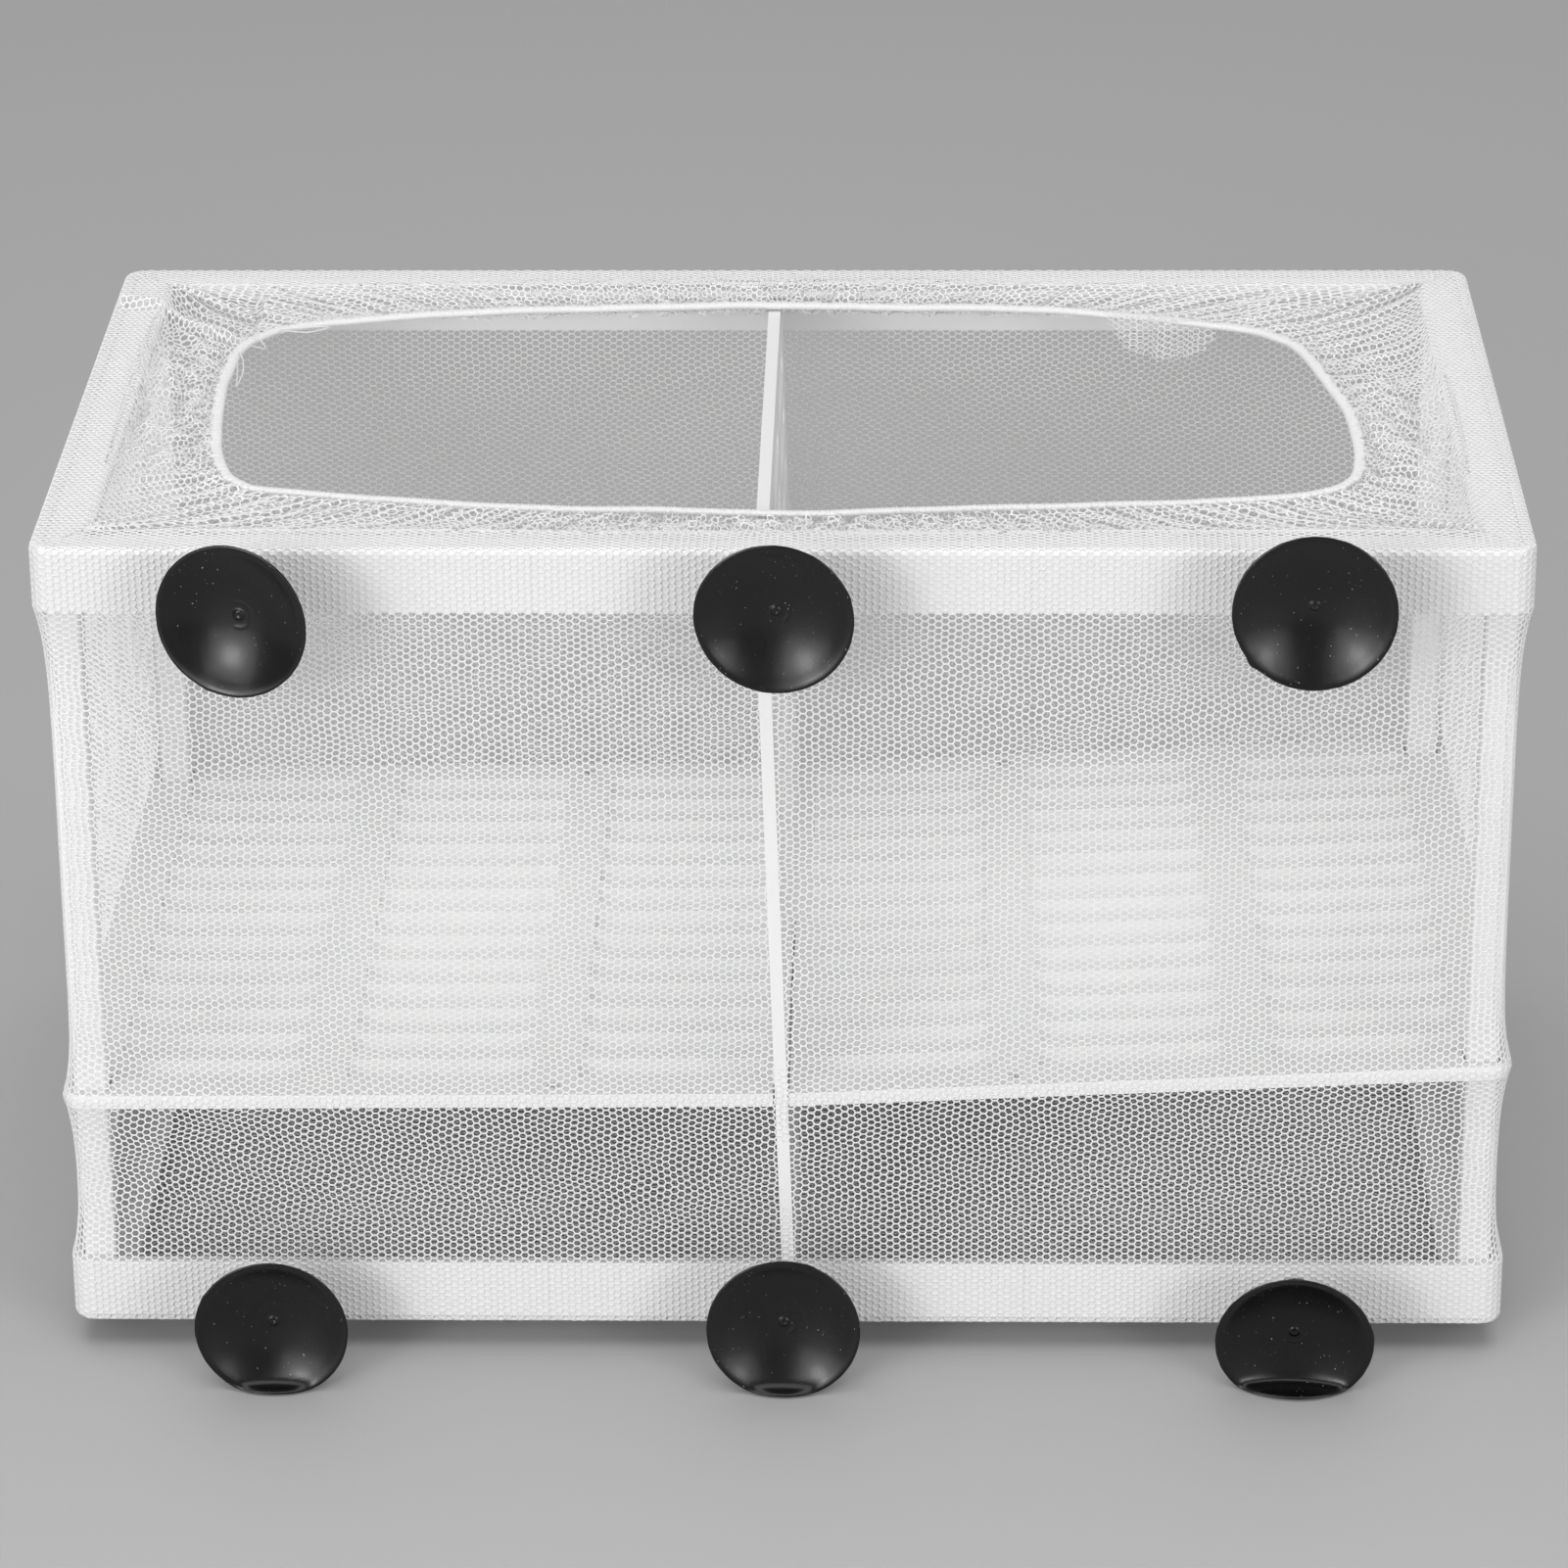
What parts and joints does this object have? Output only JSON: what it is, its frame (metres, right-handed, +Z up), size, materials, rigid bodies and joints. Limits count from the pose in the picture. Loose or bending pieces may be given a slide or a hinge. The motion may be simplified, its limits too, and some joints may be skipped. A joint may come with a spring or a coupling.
{
  "type": "fish breeding box",
  "caption": "Net-walled box for raising young fish: rigid frame, slotted floor board, upright divider, elastic hand opening on top and rubber suction cups on the front.",
  "frame": {"origin": "centre of the flat underside of the bag", "axes": "+X along the width, +Y from the suction cups towards the back, +Z up"},
  "size_m": [0.265, 0.1684, 0.1705],
  "materials": {
    "frame_plastic": "white moulded plastic, satin",
    "board_plastic": "white moulded plastic, satin",
    "net_fabric": "white knitted hexagon tulle",
    "elastic": "white braided elastic in a net hem",
    "black_rubber": "glossy black rubber"
  },
  "bodies": {
    "frame": {"top_ring": "frame_plastic", "bottom_ring": "frame_plastic", "post_front_left": "frame_plastic", "post_front_right": "frame_plastic", "post_back_left": "frame_plastic", "post_back_right": "frame_plastic", "floor_board": "board_plastic", "divider_board": "board_plastic", "net_front": "net_fabric", "net_back": "net_fabric", "net_left": "net_fabric", "net_right": "net_fabric", "net_floor": "net_fabric", "net_top": "net_fabric", "elastic_hem": "elastic"},
    "cup_top_left": {"cup_top_left": "black_rubber"},
    "cup_top_centre": {"cup_top_centre": "black_rubber"},
    "cup_top_right": {"cup_top_right": "black_rubber"},
    "cup_bottom_left": {"cup_bottom_left": "black_rubber"},
    "cup_bottom_centre": {"cup_bottom_centre": "black_rubber"},
    "cup_bottom_right": {"cup_bottom_right": "black_rubber"}
  },
  "joints": [
    {"name": "cup_top_left_turn", "type": "hinge", "parent": "frame", "child": "cup_top_left", "pos_m": [-0.0937, -0.0747, 0.1476], "axis": [0, 1, 0], "continuous": true},
    {"name": "cup_top_centre_turn", "type": "hinge", "parent": "frame", "child": "cup_top_centre", "pos_m": [0, -0.0747, 0.1476], "axis": [0, 1, 0], "continuous": true},
    {"name": "cup_top_right_turn", "type": "hinge", "parent": "frame", "child": "cup_top_right", "pos_m": [0.0937, -0.0747, 0.1476], "axis": [0, 1, 0], "continuous": true},
    {"name": "cup_bottom_left_turn", "type": "hinge", "parent": "frame", "child": "cup_bottom_left", "pos_m": [-0.0937, -0.0747, 0.0065], "axis": [0, 1, 0], "continuous": true},
    {"name": "cup_bottom_centre_turn", "type": "hinge", "parent": "frame", "child": "cup_bottom_centre", "pos_m": [0, -0.0747, 0.0065], "axis": [0, 1, 0], "continuous": true},
    {"name": "cup_bottom_right_turn", "type": "hinge", "parent": "frame", "child": "cup_bottom_right", "pos_m": [0.0937, -0.0747, 0.0065], "axis": [0, 1, 0], "continuous": true}
  ]
}
